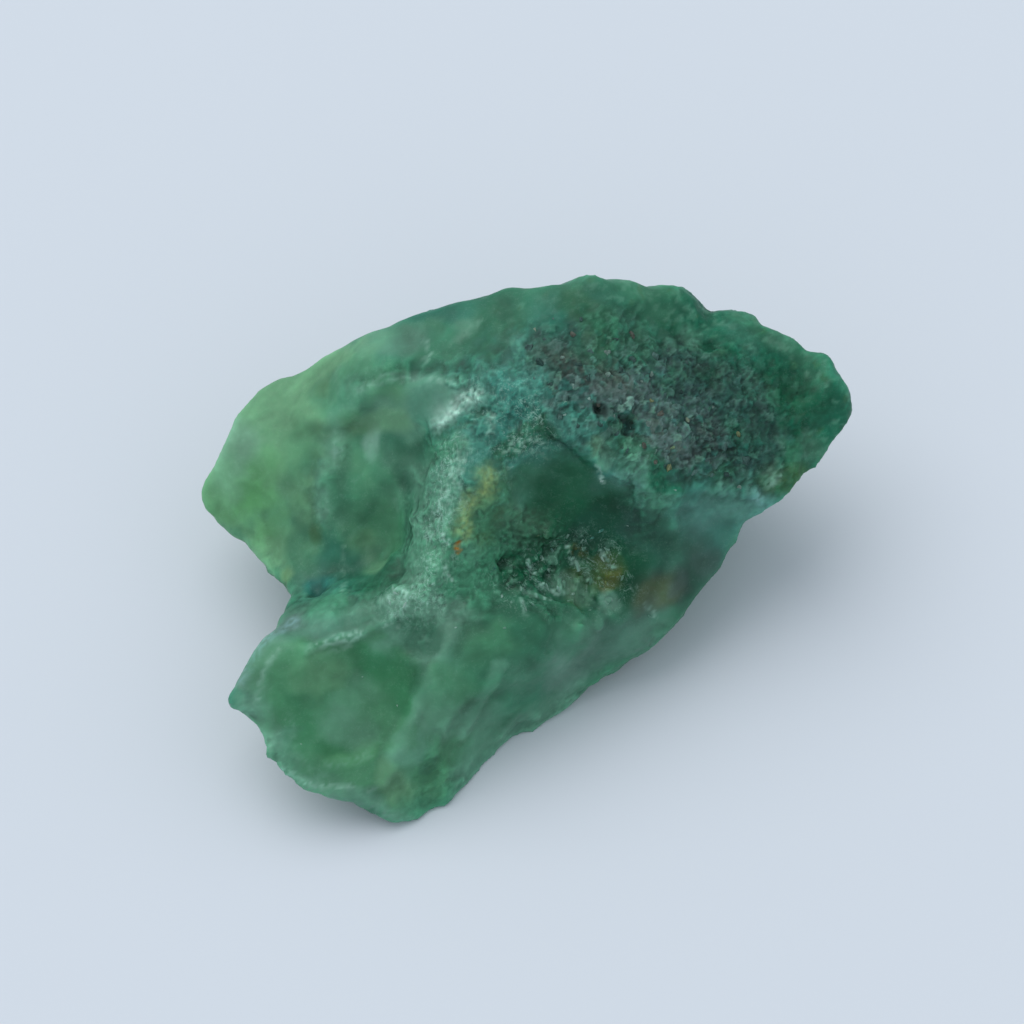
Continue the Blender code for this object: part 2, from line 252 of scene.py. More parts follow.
# The relief of the broken skin, in mm: low lumps and flat chips all over, the crust's grains and specks
# with furrows between them, the crinkles of the summit and the nose, and the crystals of the pit.
GRAIN_SIZE = 0.40
SPECK_SIZE = 0.24
height = 0.07 * rough * field(0.9, 5.0) + 0.02 * rough * field(0.35, 9.0)
height += rough * (chips(1.3, 0.30, 3.0) + 0.7 * chips(0.6, 0.30, 4.0))
crust_number = grain_numbers(GRAIN_SIZE, 11.0)
speck_number = grain_numbers(SPECK_SIZE, 12.0)
height += np.clip(crust + 0.25 * rim, 0.0, 1.0) * (
    0.04 * crust_number + 0.10 * chips(GRAIN_SIZE, 0.9, 11.0)
    + 0.02 * speck_number + 0.08 * chips(SPECK_SIZE, 0.9, 12.0)
    + 0.05 * (1.0 - 2.0 * np.abs(field(0.33, 13.0))))
height += 0.06 * summit * (1.0 - 2.0 * np.abs(field(0.5, 15.0)))
height += 0.03 * np.maximum(summit, nose) * (1.0 - 2.0 * np.abs(field(0.22, 17.0)))
bits = np.clip(6.0 * (field(0.42, 21.0) + 0.5 * field(0.2, 22.0) - 0.32), 0.0, 1.0)
height += pit * (0.06 * bits + 0.2 * chips(0.5, 0.5, 23.0))

# Lines and hollows on the skin: how high in mm, how wide in mm, and where.
RELIEF = {
    "rib of the valley": (0.08, 0.7, [(350, 388), (336, 420), (329, 470), (327, 520), (343, 598)]),
    "line over the ledge": (-0.05, 0.45, [(352, 382), (400, 374), (450, 372), (498, 364)]),
    "bright ledge": (0.03, 0.8, [(432, 418), (476, 398)]),
    "foot of the ledge": (-0.06, 0.5, [(430, 436), (468, 424), (500, 398)]),
    "scarp beside the nose": (-0.10, 0.5, [(404, 486), (405, 528), (399, 572)]),
    "nose": (0.06, 0.8, [(456, 456), (448, 540), (430, 578)]),
    "ring at the nose": (0.12, 0.5, [(398, 590), (408, 600), (396, 612), (386, 600), (398, 590)]),
    "step in the dish": (0.10, 0.35, [(306, 650), (332, 639), (356, 635), (392, 620)]),
    "edge of the band": (0.10, 0.5, [(455, 631), (441, 668), (424, 692), (404, 726), (383, 781)]),
    "second band": (0.08, 0.5, [(500, 668), (480, 702), (462, 736)]),
    "crest": (0.14, 0.4, [(546, 412), (580, 448), (613, 474), (660, 490), (750, 492)]),
    "valley": (-0.20, 1.6, [(415, 445), (395, 500), (375, 550)]),
    "dark hole": (-0.45, 0.5, [(505, 562)]),
    "hole in the crust": (-0.55, 0.4, [(599, 411)]),
    "second hole in the crust": (-0.22, 0.32, [(621, 420), (629, 425), (626, 433)]),
    "deep corner": (-0.25, 0.6, [(318, 590)]),
    "nub": (0.25, 0.55, [(236, 700)]),
    "notch under the nub": (-0.22, 0.7, [(251, 721)]),
    "first tooth": (-0.07, 0.22, [(266, 742)]),
    "second tooth": (-0.07, 0.22, [(276, 762)]),
    "third tooth": (-0.06, 0.2, [(288, 779)]),
    "crescent low in the dish": (0.05, 0.5, [(328, 765), (348, 762), (368, 756)]),
}
for high, wide, line in RELIEF.values():
    height += high * near(line, wide, 0.2)

# The relief fades out towards the foot, in mm above the sheet, and the foot itself is made quite flat.
FOOT = 0.05
FOOT_FADE = 0.5
FLAT_BELOW = 0.04
raised = np.clip((places[:, 2] - FOOT) / FOOT_FADE, 0.0, 1.0)
places += facing * (height * raised)[:, None]
places[places[:, 2] < FLAT_BELOW, 2] = 0.0
skin_mesh.vertices.foreach_set("co", (places * MM).astype(np.float32).ravel())
skin_mesh.update()
points = [Vector(place) for place in places]
surface = surface_of(skin_mesh)

ends = np.zeros(len(skin_mesh.edges) * 2, np.int32)
skin_mesh.edges.foreach_get("vertices", ends)
ends = ends.reshape(-1, 2)
ends = np.vstack([ends, ends[:, ::-1]])
neighbours = np.bincount(ends[:, 0], minlength=count)


def bulge(steps):
    """How far each point stands proud of the skin that many steps of the net around it, in mm."""
    flat = places.copy()
    for _ in range(steps):
        for k in range(3):
            around = np.bincount(ends[:, 0], flat[ends[:, 1], k], count) / neighbours
            flat[:, k] = 0.5 * (flat[:, k] + around)
    return ((places - flat) * facing).sum(axis=1)


FINE_STEPS = 4
BROAD_STEPS = 30
fine_bulge = bulge(FINE_STEPS)
broad_bulge = bulge(BROAD_STEPS)


# The colour of the stone. Beryl is green where chromium and vanadium got in, paler where cracks and
# bubbles cloud it, blue-green where it is deep, and stained by iron where water has been.
TINTS = {
    "leaf": "#3A785A",
    "deep leaf": "#235A42",
    "young leaf": "#54985C",
    "milky": "#5F8F77",
    "pale": "#82AC99",
    "meadow": "#64966F",
    "frost": "#A6CCBA",
    "sea": "#22685C",
    "teal": "#3E7C6C",
    "milky sea": "#468B7C",
    # A pale blue-green that is not the stone's own: it is a painted reflection of the bright room in
    # facets turned towards it.
    "sky": "#7BA7A6",
    "bottle": "#06482E",
    "black green": "#03241A",
    "slate": "#2E4A46",
    "ash": "#566C67",
    "earth": "#40463A",
    "olive": "#3A5526",
    "straw": "#82985C",
    "rust": "#8A6216",
    "amber": "#5C5F2C",
    "grass": "#105840",
    "glass green": "#46815C",
    "deep glass": "#286A44",
}


def linear(shade):
    """A colour written as sRGB hex, as the linear numbers that Blender works in."""
    parts = [int(shade[i:i + 2], 16) / 255 for i in (1, 3, 5)]
    return [p / 12.92 if p <= 0.04045 else ((p + 0.055) / 1.055) ** 2.4 for p in parts]


# The tints laid over the skin, one part of the stone after another. Each stroke is its tint, how strong it
# is, how wide it is in mm, the line that it follows on the drawing and, where one is needed, how crisp
# its edge is. A later stroke lies over an earlier one.
PATCHES = {
    "thin lobe": [
        # The meadow, young leaf and pale strokes make the thin lobe lighter and yellower towards its thin
        # left edge: painted light shining through the thin stone, over the lobe's own paler green.
        ("meadow", 0.95, 5.5, [(235, 470), (300, 400)]),
        ("young leaf", 0.8, 2.2, [(232, 485), (256, 500)], 1.0),
        ("leaf", 0.25, 1.2, [(296, 490), (290, 525)]),
        ("meadow", 0.4, 0.8, [(304, 490), (306, 515)]),
        ("meadow", 0.5, 1.0, [(270, 545), (290, 560)]),
        ("pale", 0.35, 1.4, [(238, 436), (228, 476)]),
        ("glass green", 0.4, 1.0, [(300, 440), (300, 462)]),
        ("leaf", 0.7, 0.8, [(296, 552), (304, 566)]),
        ("straw", 0.35, 0.5, [(324, 391)]),
        ("straw", 0.25, 0.45, [(286, 578)]),
        ("olive", 0.5, 0.5, [(318, 534)]),
    ],
    "valley and its rib": [
        ("milky", 0.8, 0.8, [(352, 390), (338, 420), (334, 470), (330, 510)]),
        ("pale", 0.45, 0.34, [(350, 404), (340, 430), (335, 455)]),
        ("pale", 0.35, 0.22, [(337, 450), (332, 475), (329, 514)]),
        ("pale", 0.5, 0.12, [(345, 545), (343, 570), (342, 596)]),
        ("pale", 0.35, 0.12, [(346, 545), (356, 528), (372, 514), (398, 496)]),
        ("pale", 0.4, 0.22, [(366, 548), (388, 554)]),
        ("pale", 0.5, 0.16, [(394, 500), (398, 512)]),
        ("frost", 0.5, 0.1, [(353, 480)]),
        ("frost", 0.5, 0.1, [(383, 539)]),
        ("glass green", 0.9, 1.0, [(355, 416), (392, 415)]),
        ("milky", 0.5, 0.3, [(340, 520), (344, 597)]),
        ("deep leaf", 0.7, 1.2, [(425, 447), (408, 475)]),
        ("glass green", 0.5, 1.8, [(355, 430), (365, 500), (385, 530)]),
        ("leaf", 0.5, 1.6, [(365, 480), (370, 530)]),
        ("glass green", 0.6, 1.1, [(380, 520), (388, 545)]),
        ("pale", 0.55, 0.45, [(377, 434), (373, 452)], 1.7),
        ("deep leaf", 0.6, 1.2, [(345, 575), (370, 578)]),
        ("deep leaf", 0.4, 1.0, [(342, 480), (352, 500)]),
        ("milky", 0.75, 1.0, [(346, 414), (374, 412), (404, 420)]),
        ("meadow", 0.65, 0.7, [(350, 418), (356, 426), (402, 420)]),
        ("leaf", 0.4, 0.6, [(378, 462), (384, 476)]),
        ("meadow", 0.6, 0.8, [(364, 540), (376, 568)]),
        ("sea", 0.9, 0.6, [(312, 588), (324, 586)]),
    ],
    "strip behind the ledge": [
        ("milky", 0.4, 1.2, [(372, 345), (392, 338)]),
        ("leaf", 0.7, 1.2, [(330, 395), (352, 378), (385, 372)]),
        ("leaf", 0.8, 1.4, [(410, 345), (460, 345), (500, 320)]),
        ("deep leaf", 0.6, 1.6, [(500, 310), (500, 360)]),
        ("milky", 0.5, 0.7, [(468, 328)]),
        ("pale", 0.5, 0.2, [(424, 340), (430, 352), (424, 363)]),
        ("milky", 0.5, 0.3, [(456, 342), (466, 332), (480, 322)]),
        ("ash", 0.3, 0.8, [(400, 348), (412, 340)]),
        ("milky", 0.3, 0.9, [(392, 340), (410, 338)]),
        ("milky", 0.35, 0.6, [(514, 346), (526, 356)]),
        ("deep leaf", 0.4, 0.5, [(375, 378), (450, 373), (500, 362)]),
    ],
    "ledge and summit": [
        ("milky", 0.5, 1.0, [(415, 392), (450, 392)]),
        ("pale", 0.28, 0.26, [(358, 389), (385, 379), (411, 376), (451, 382)]),
        ("deep leaf", 0.4, 0.36, [(392, 368), (425, 366), (465, 370)]),
        ("teal", 0.9, 2.4, [(495, 395), (540, 385), (555, 430), (500, 450)]),
        ("milky sea", 0.4, 0.6, [(505, 395), (535, 372), (570, 370)]),
        ("sea", 0.5, 0.6, [(505, 380), (520, 410), (500, 430)]),
        ("sea", 0.5, 0.6, [(534, 416), (546, 426)]),
        ("bottle", 0.3, 0.6, [(536, 416), (548, 428)]),
        ("deep leaf", 0.9, 0.6, [(503, 451), (520, 442), (550, 430)], 2.0),
        ("pale", 0.45, 0.13, [(504, 452), (512, 449), (522, 451)]),
        ("pale", 0.55, 0.13, [(522, 444), (530, 440), (540, 441), (546, 446)]),
        ("pale", 0.45, 0.12, [(530, 450), (540, 452), (549, 459)]),
        ("pale", 0.5, 0.12, [(511, 443), (519, 440)]),
        ("pale", 0.5, 0.22, [(490, 415), (489, 433)]),
        # The pale and frost strokes on the ledge are a painted highlight where the ledge catches the
        # light, over a little frosting of its own; the deep leaf strip after them is painted shade along
        # the ledge's foot.
        ("pale", 0.55, 0.9, [(446, 412), (470, 397)], 1.2),
        ("frost", 0.35, 0.6, [(442, 418), (456, 406)], 1.2),
        ("frost", 0.45, 0.18, [(440, 422), (468, 402)]),
        ("frost", 0.4, 0.18, [(446, 412), (482, 390)]),
        ("frost", 0.35, 0.16, [(452, 402), (476, 387)]),
        ("frost", 0.35, 0.16, [(456, 414), (478, 398)]),
        ("deep leaf", 0.5, 0.35, [(430, 438), (462, 427), (484, 412)], 2.0),
    ],
    "nose": [
        ("milky", 0.45, 1.1, [(424, 470), (420, 530), (412, 570)]),
        ("milky", 0.6, 0.9, [(454, 455), (446, 500), (438, 530)]),
        ("milky", 0.5, 1.1, [(430, 560), (420, 590), (440, 625)]),
        ("leaf", 0.7, 0.7, [(438, 448), (452, 452)]),
        ("milky", 0.7, 0.8, [(440, 606), (462, 618)]),
        ("pale", 0.35, 0.35, [(462, 456), (456, 478)]),
        ("pale", 0.35, 0.15, [(452, 462), (446, 500), (450, 512)]),
        ("pale", 0.35, 0.15, [(464, 470), (458, 492)]),
        ("pale", 0.35, 0.14, [(440, 500), (438, 524)]),
        ("frost", 0.5, 0.2, [(427, 537), (431, 540)]),
        ("frost", 0.5, 0.2, [(446, 537), (449, 543)]),
        ("frost", 0.5, 0.14, [(430, 560), (438, 568), (446, 566)]),
        ("frost", 0.4, 0.14, [(448, 572), (453, 579)]),
        ("leaf", 0.5, 0.7, [(424, 546), (434, 564)]),
        ("deep leaf", 0.5, 0.3, [(407, 486), (409, 528), (401, 572), (380, 596)], 2.0),
        ("bottle", 0.6, 0.12, [(411, 510), (411, 534), (403, 574)]),
        ("olive", 0.45, 1.1, [(500, 484), (492, 510), (486, 530)]),
        ("straw", 0.4, 0.7, [(488, 479), (480, 500)], 1.1),
        ("straw", 0.3, 0.4, [(490, 476), (484, 490)], 1.2),
        ("straw", 0.5, 0.6, [(468, 505), (463, 532)], 1.1),
        ("deep leaf", 0.3, 0.8, [(502, 498), (495, 520)]),
        ("leaf", 0.4, 0.7, [(482, 510), (484, 522)]),
        ("rust", 0.75, 0.2, [(458, 544), (459, 550)], 1.6),
        ("pale", 0.4, 0.45, [(398, 590), (408, 600), (396, 612), (386, 600)]),
        ("frost", 0.7, 0.13, [(389, 598), (396, 590), (406, 594), (408, 605)]),
        ("frost", 0.6, 0.13, [(395, 612), (404, 618), (398, 627)]),
        ("frost", 0.5, 0.12, [(382, 627), (392, 622)]),
        ("frost", 0.5, 0.12, [(421, 632), (428, 640)]),
    ],
    "hollow, pit and stains": [
        # The dark deep leaf, bottle and black green strokes of the hollow right of the nose are painted
        # shade in that recess, over the stone's own deep green.
        ("deep leaf", 0.6, 1.4, [(555, 470), (578, 466)]),
        ("bottle", 0.45, 1.2, [(566, 478), (582, 482)]),
        ("leaf", 0.6, 0.7, [(526, 474), (540, 480)]),
        ("bottle", 1.0, 2.0, [(575, 520), (605, 520), (635, 545)]),
        ("bottle", 0.95, 1.8, [(530, 560), (570, 565), (625, 565)]),
        ("deep leaf", 0.6, 0.6, [(523, 482), (530, 504)]),
        ("bottle", 0.65, 0.8, [(534, 508), (548, 528)]),
        ("bottle", 0.35, 0.6, [(488, 566), (496, 574)]),
        ("bottle", 0.6, 0.6, [(610, 556), (620, 564)]),
        ("earth", 0.25, 1.0, [(515, 515), (540, 528)]),
        ("black green", 0.6, 1.3, [(585, 530), (610, 525)]),
        ("grass", 0.4, 1.0, [(590, 525), (612, 530)]),
        ("deep leaf", 0.6, 1.2, [(540, 600), (590, 600)]),
        ("olive", 0.8, 0.9, [(575, 590), (606, 574)]),
        ("amber", 0.6, 0.4, [(600, 562), (612, 576), (604, 590)]),
        ("amber", 0.4, 0.3, [(572, 550), (584, 556)]),
        # Painted shade in the dark hole.
        ("bottle", 1.0, 0.5, [(503, 562), (510, 578), (524, 582)], 1.6),
        ("milky", 0.7, 0.5, [(609, 602)]),
        ("earth", 0.6, 1.1, [(650, 600), (674, 588)]),
        ("amber", 0.28, 0.8, [(648, 600), (672, 590)]),
        ("pale", 0.5, 0.14, [(645, 605), (650, 612), (657, 618)]),
        ("ash", 0.4, 0.4, [(670, 592), (684, 578)]),
        ("deep leaf", 0.7, 1.0, [(505, 610), (495, 640)]),
        ("deep leaf", 0.5, 1.2, [(530, 615), (562, 622)]),
        ("deep leaf", 0.5, 0.9, [(584, 628), (578, 662)]),
        ("pale", 0.8, 0.14, [(528, 560), (530, 570), (536, 574)]),
        ("pale", 0.7, 0.16, [(542, 584), (550, 592), (562, 594), (560, 586)]),
        ("pale", 0.7, 0.14, [(536, 596), (548, 600), (556, 596)]),
        ("pale", 0.8, 0.13, [(522, 600), (526, 612), (529, 618)]),
        ("pale", 0.7, 0.15, [(566, 546), (572, 562), (580, 568)]),
        ("pale", 0.7, 0.14, [(600, 552), (606, 562), (612, 568)]),
        ("milky", 0.6, 0.2, [(576, 560), (586, 566), (590, 582)]),
        ("milky", 0.6, 0.6, [(560, 586), (580, 594)]),
        ("bottle", 0.5, 0.5, [(592, 562), (606, 566)]),
        ("milky", 0.7, 0.2, [(522, 590), (530, 594)]),
    ],
    "crest and right face": [
        ("teal", 0.7, 0.6, [(540, 400), (574, 433), (590, 450), (604, 472)]),
        ("bottle", 0.6, 0.4, [(545, 425), (572, 446), (590, 470)]),
        ("straw", 0.25, 0.45, [(593, 444), (604, 466)]),
        ("frost", 0.6, 0.14, [(596, 466), (604, 482)]),
        # Painted reflection of the bright room along the top of the crest.
        ("sky", 0.1, 1.2, [(612, 474), (640, 488), (670, 498)]),
        ("sky", 0.12, 0.5, [(618, 478), (636, 486)]),
        ("milky", 0.4, 0.5, [(598, 440), (606, 462)]),
        ("grass", 1.0, 0.7, [(662, 478), (700, 484)], 2.0),
        ("teal", 0.7, 1.5, [(690, 510), (720, 530), (750, 502)]),
        ("teal", 0.25, 0.5, [(672, 470), (690, 472)]),
        ("milky sea", 0.3, 1.2, [(700, 500), (745, 508), (725, 540)]),
        ("milky sea", 0.25, 0.7, [(694, 516), (706, 524)]),
        ("ash", 0.3, 1.2, [(700, 520), (740, 505)]),
        ("slate", 0.4, 1.4, [(640, 525), (668, 552)]),
        ("slate", 0.4, 1.6, [(700, 550), (690, 575)]),
        ("bottle", 0.75, 0.9, [(552, 488), (558, 518)]),
    ],
    "crust and its green rim": [
        ("milky", 0.6, 1.0, [(700, 300), (735, 325)]),
        ("leaf", 0.4, 0.8, [(640, 306), (660, 306)]),
        ("deep leaf", 0.8, 1.5, [(600, 326), (640, 336), (672, 330)]),
        ("slate", 0.9, 3.0, [(600, 375), (660, 395), (730, 425)]),
        ("ash", 0.45, 1.3, [(610, 385), (650, 400), (655, 430)]),
        ("earth", 0.45, 1.0, [(545, 356), (580, 366), (614, 378)]),
        ("bottle", 0.6, 1.6, [(760, 395), (800, 400)]),
        ("black green", 0.5, 1.0, [(715, 440), (745, 462)]),
        ("olive", 0.3, 1.0, [(575, 300), (600, 330)]),
        ("leaf", 0.4, 1.2, [(592, 338), (640, 346)]),
        ("milky", 0.35, 0.3, [(593, 306), (598, 314)]),
        # The black green in the crust's two holes is painted shade in them.
        ("black green", 0.8, 0.4, [(597, 410), (603, 414)]),
        ("black green", 0.5, 0.34, [(621, 420), (629, 425), (626, 433)]),
        ("milky", 0.3, 0.3, [(614, 322), (618, 330)]),
        ("slate", 0.8, 1.2, [(735, 380), (755, 405)]),
        ("slate", 0.6, 0.7, [(748, 462)]),
        ("grass", 1.0, 3.0, [(720, 325), (760, 350), (805, 390), (820, 415), (790, 440)]),
        ("bottle", 0.7, 1.4, [(765, 395), (805, 404), (790, 440)]),
        ("leaf", 0.5, 0.8, [(745, 318), (809, 356), (822, 370)]),
        ("teal", 0.4, 0.7, [(740, 330), (750, 342)]),
        ("bottle", 0.5, 0.9, [(718, 362), (724, 380)]),
        ("bottle", 0.5, 0.7, [(666, 326), (668, 340)]),
        ("bottle", 0.5, 0.8, [(775, 440), (790, 470)]),
        ("slate", 0.6, 1.3, [(725, 380), (755, 402), (768, 432), (758, 458)]),
        ("ash", 0.6, 0.7, [(674, 446), (688, 454)]),
        ("ash", 0.25, 0.8, [(704, 426), (716, 434)]),
        ("ash", 0.3, 0.7, [(592, 388), (610, 392)]),
        ("deep leaf", 0.8, 0.8, [(592, 318), (610, 324)]),
        ("bottle", 0.3, 0.9, [(632, 346), (664, 342)]),
        ("deep leaf", 0.55, 0.8, [(742, 336), (768, 334)]),
        # More painted shade in the first hole of the crust.
        ("black green", 0.4, 0.6, [(596, 412), (604, 426)]),
        ("sea", 0.35, 0.6, [(598, 460), (606, 470)]),
        ("bottle", 0.3, 0.8, [(752, 392), (768, 390)]),
        ("bottle", 0.3, 0.7, [(748, 438), (754, 446)]),
        ("grass", 0.4, 0.5, [(818, 366), (822, 376)]),
        ("milky", 0.3, 0.6, [(688, 336), (694, 346)]),
        ("milky", 0.3, 0.6, [(778, 340), (786, 346)]),
        ("milky", 0.35, 0.6, [(806, 446), (814, 452)]),
        ("leaf", 0.5, 0.8, [(795, 457), (812, 445)]),
        ("olive", 0.5, 0.7, [(768, 482), (800, 478)]),
        ("milky", 0.6, 0.35, [(766, 484), (804, 478)]),
        ("pale", 0.4, 0.25, [(772, 486), (800, 481)]),
    ],
    "dish and its lip": [
        ("milky", 0.6, 1.5, [
            (262, 660), (300, 625), (400, 622), (440, 660),
            (410, 735), (390, 790), (300, 780), (268, 720)
        ]),
        ("glass green", 0.9, 2.3, [(300, 690), (350, 690), (375, 700), (345, 745)], 2.5),
        ("deep glass", 0.8, 0.9, [(360, 656), (400, 665), (404, 700)]),
        ("deep glass", 0.5, 0.9, [(280, 675), (286, 700), (300, 735)]),
        ("deep leaf", 0.5, 0.7, [(415, 640), (436, 640)]),
        ("glass green", 0.8, 1.3, [(335, 672), (345, 700), (360, 730)]),
        ("milky", 0.3, 1.0, [(340, 705), (360, 690)]),
        ("pale", 0.55, 0.3, [(308, 650), (332, 640), (356, 634)]),
        ("pale", 0.45, 0.35, [(318, 652), (345, 643)]),
        ("milky", 0.7, 0.22, [(328, 765), (348, 762), (368, 755)]),
        ("young leaf", 0.25, 0.6, [(330, 758), (366, 750)]),
        ("deep glass", 0.6, 0.4, [(322, 752), (345, 746)]),
        ("milky", 0.3, 0.3, [(290, 720), (300, 760), (330, 785)]),
        ("milky", 0.5, 0.4, [(458, 604), (455, 631), (441, 668), (428, 692), (408, 726), (388, 781)], 1.6),
        ("deep leaf", 0.6, 0.5, [(404, 622), (430, 624)]),
        ("milky", 0.6, 0.9, [(255, 680), (268, 650)]),
        ("ash", 0.6, 0.5, [(243, 676), (260, 645), (284, 602)]),
        # Painted reflection on the facet that faces left.
        ("sky", 0.4, 0.35, [(245, 676), (262, 645), (284, 606)]),
        ("milky", 0.9, 0.8, [(246, 705), (262, 735)]),
        ("deep glass", 0.7, 0.7, [(438, 758), (424, 772)]),
        ("sea", 0.5, 0.4, [(436, 760), (424, 770)]),
        ("leaf", 0.6, 1.2, [(456, 690), (480, 650), (520, 640)]),
        ("glass green", 0.5, 1.0, [(478, 652), (500, 640)]),
        ("glass green", 0.6, 1.4, [(450, 690), (452, 740), (500, 728)]),
        ("glass green", 0.5, 1.0, [(266, 660), (275, 720)]),
        ("glass green", 0.8, 1.1, [(290, 670), (330, 672)]),
        ("meadow", 0.45, 0.9, [(304, 672), (330, 676)]),
        ("glass green", 0.5, 0.8, [(288, 650), (292, 666)]),
        ("milky", 0.45, 0.9, [(334, 728), (360, 734)]),
        ("deep leaf", 0.35, 0.6, [(420, 676), (422, 688)]),
        ("leaf", 0.75, 0.8, [(316, 606), (338, 602)]),
        ("glass green", 0.7, 1.2, [(480, 700), (455, 745), (430, 782), (396, 784)]),
        ("meadow", 0.65, 0.7, [(386, 776), (402, 792)]),
        ("leaf", 0.5, 0.6, [(404, 806), (418, 812)]),
        ("milky", 0.6, 0.4, [(499, 668), (479, 703), (463, 735)], 2.0),
        # The milky and pale strokes along the lip are painted light shining through its thin edge, over
        # its own cloudy edge.
        ("milky", 0.35, 0.4, [(290, 778), (330, 796), (380, 802), (408, 818)], 1.6),
        ("pale", 0.45, 0.16, [(283, 768), (300, 780), (319, 787), (376, 789)]),
        ("pale", 0.4, 0.16, [(256, 700), (262, 674), (276, 650)]),
        # Painted shadow on the underside of the lip.
        ("ash", 0.3, 0.3, [(310, 796), (360, 806), (395, 818)]),
    ],
    "lower front face": [
        ("leaf", 0.6, 3.0, [(500, 710), (560, 680)]),
        ("milky", 0.6, 1.4, [(470, 770), (510, 735), (560, 705), (610, 675)]),
        ("ash", 0.35, 2.0, [(560, 670), (620, 640)]),
        ("milky", 0.5, 1.3, [(440, 720), (486, 722)]),
        ("leaf", 0.6, 0.9, [(578, 630), (572, 652)]),
        ("deep leaf", 0.3, 0.6, [(566, 640), (562, 652)]),
        ("deep leaf", 0.55, 0.7, [(508, 610), (518, 626)]),
        # Painted reflection on a small facet by the notch.
        ("sky", 0.25, 0.6, [(756, 499), (766, 501)]),
        ("ash", 0.3, 0.7, [(700, 556), (710, 564)]),
    ],
}

tint = np.tile(np.array(linear(TINTS["leaf"])), (count, 1))


def paint(shade, share):
    """Lays a tint over the skin, as strongly as share says at each point."""
    global tint
    share = np.clip(share, 0.0, 1.0)[:, None]
    tint = tint * (1.0 - share) + np.array(linear(TINTS[shade])) * share


# The tints: broad clouds first, then the strokes, mottled where the skin is rough and broken up where they
# are narrow, then the grains and specks of the crust and its rim, each with its own tint.
GRAIN_TINTS = [
    (0.0, 0.2, "black green"), (0.3, 0.45, "ash"), (0.5, 0.62, "earth"), (0.65, 0.8, "sea"),
    (0.8, 0.86, "milky"), (0.86, 0.96, "ash"), (0.98, 1.0, "pale"),
]
RIM_TINTS = [(0.0, 0.25, "deep leaf"), (0.3, 0.4, "olive"), (0.75, 1.0, "milky")]
NARROW = 0.35

paint("deep leaf", 0.8 * np.clip(0.5 + 1.4 * field(3.0, 31.0), 0.0, 1.0))
paint("milky", 0.5 * np.clip(1.8 * field(2.2, 37.0) - 0.2, 0.0, 1.0))
paint("sea", 0.5 * np.clip(1.8 * field(4.0, 41.0), 0.0, 1.0))
for strokes in PATCHES.values():
    for shade, strength, wide, line, *edge in strokes:
        crisp = edge[0] if edge else 1.5
        if wide > NARROW:
            laid = near(line, wide, 0.4, crisp) * (1.0 + 0.7 * rough * speckle)
        else:
            laid = near(line, wide, 0.15, crisp) * np.clip(0.65 + 2.0 * speckle, 0.0, 1.3)
        paint(shade, strength * laid)
fresh = near([(570, 385), (620, 410), (680, 450)], 3.0)
for low, high, shade in GRAIN_TINTS:
    in_grain = (crust_number >= low) & (crust_number < high)
    paint(shade, (0.12 + 0.26 * fresh) * crust * in_grain)
    in_speck = (speck_number >= low) & (speck_number < high)
    paint(shade, (0.12 + 0.22 * fresh) * crust * in_speck)
for low, high, shade in RIM_TINTS:
    in_speck = (speck_number >= low) & (speck_number < high)
    paint(shade, 0.3 * rim * (1.0 - crust) * in_speck)
paint("pale", 0.2 * pit * bits)

# Veils of tiny bubbles, seen edge on as thin pale wisps, and painted light and shade from the relief
# itself: a painted highlight on the edges that stand out, and painted shade in the hollows, where light
# doesn't come back out.
VEILS = [(2.4, 0.36), (1.1, 0.26)]
busy = 1.0 - 0.5 * smooth - 0.5 * rim
veils_and_painted_shading = 1.06 + 0.40 * busy * np.clip(fine_bulge / 0.02, -0.6, 1.0)
veils_and_painted_shading += 0.20 * busy * np.clip(broad_bulge / 0.12, -0.8, 1.0)
veils_and_painted_shading += 0.18 * smooth * np.clip(1.8 * field(1.3, 43.0), -1.0, 1.0)
bent = [point + Vector(turn) for point, turn in zip(points, 0.9 * drift)]
for size, strength in VEILS:
    wisp = np.array([abs(noise.noise(point / size)) for point in bent])
    shadow = np.array([noise.noise(point / size + Vector((9.0, 0.0, 0.0))) for point in bent])
    veils_and_painted_shading += strength * (1.0 - 0.8 * smooth) * np.clip(1.0 - 9.0 * wisp, 0.0, 1.0)
    veils_and_painted_shading -= strength * 0.6 * busy * np.clip(2.6 * shadow - 0.3, 0.0, 1.0)
tint = tint * np.clip(veils_and_painted_shading, 0.3, 2.0)[:, None]

# What the material reads of the skin: how much of the crust, of crinkled stone, of a clean break and of
# the crystal's grain there is at each point.
marks = np.zeros((count, 4))
marks[:, 0] = crust
marks[:, 1] = np.clip(np.maximum.reduce([summit, nose, 0.6 * pit]), 0.0, 1.0)
marks[:, 2] = smooth
marks[:, 3] = np.clip(nose + 0.25 * summit, 0.0, 1.0)


def lay_colour(mesh, name, values):
    """Keeps one colour for each point of a mesh, for its material to read."""
    layer = mesh.color_attributes.new(name, "FLOAT_COLOR", "POINT")
    layer.data.foreach_set("color", np.asarray(values, np.float32).ravel())


lay_colour(skin_mesh, "tint", np.hstack([tint, np.ones((count, 1))]))
lay_colour(skin_mesh, "marks", marks)
skin_mesh.polygons.foreach_set("use_smooth", [True] * len(skin_mesh.polygons))


def add(kind, settings=None, inputs=None):
    """Adds one node to the tree in hand, with its settings, and sets or links its inputs."""
    node = tree.nodes.new(kind)
    for key, value in (settings or {}).items():
        setattr(node, key, value)
    for key, value in (inputs or {}).items():
        if isinstance(value, bpy.types.NodeSocket):
            tree.links.new(value, node.inputs[key])
        else:
            node.inputs[key].default_value = value
    return node


def clouds_of(size, detail, **more):
    """Cloudy noise in lumps of a size in mm."""
    inputs = {"Vector": where, "Scale": 1 / (size * MM), "Detail": detail, **more}
    return add("ShaderNodeTexNoise", None, inputs).outputs["Fac"]


